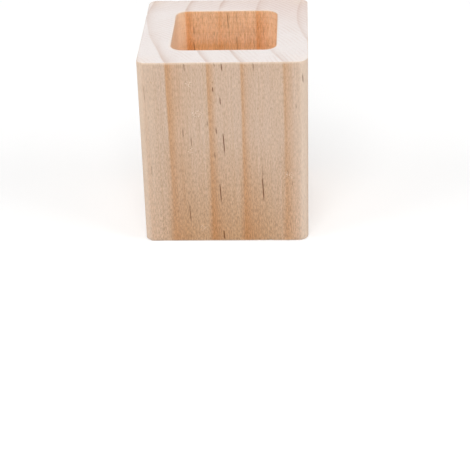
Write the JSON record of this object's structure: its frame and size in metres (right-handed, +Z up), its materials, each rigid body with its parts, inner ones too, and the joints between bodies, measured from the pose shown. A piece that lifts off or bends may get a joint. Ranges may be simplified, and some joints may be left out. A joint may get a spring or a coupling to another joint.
{
  "type": "bed riser",
  "caption": "Square softwood block that stands under a bed leg and lifts it; the leg sits in a square socket with rounded corners in the upper end.",
  "frame": {"origin": "middle of the foot's underside", "axes": "+Z up along the grain and out of the socket's mouth, X across the front face, which looks along -Y"},
  "size_m": [0.08, 0.08, 0.095],
  "materials": {
    "pine": "raw pine, planed and sanded, with no stain or varnish"
  },
  "bodies": {
    "root": {"riser_block": "pine"}
  },
  "joints": []
}
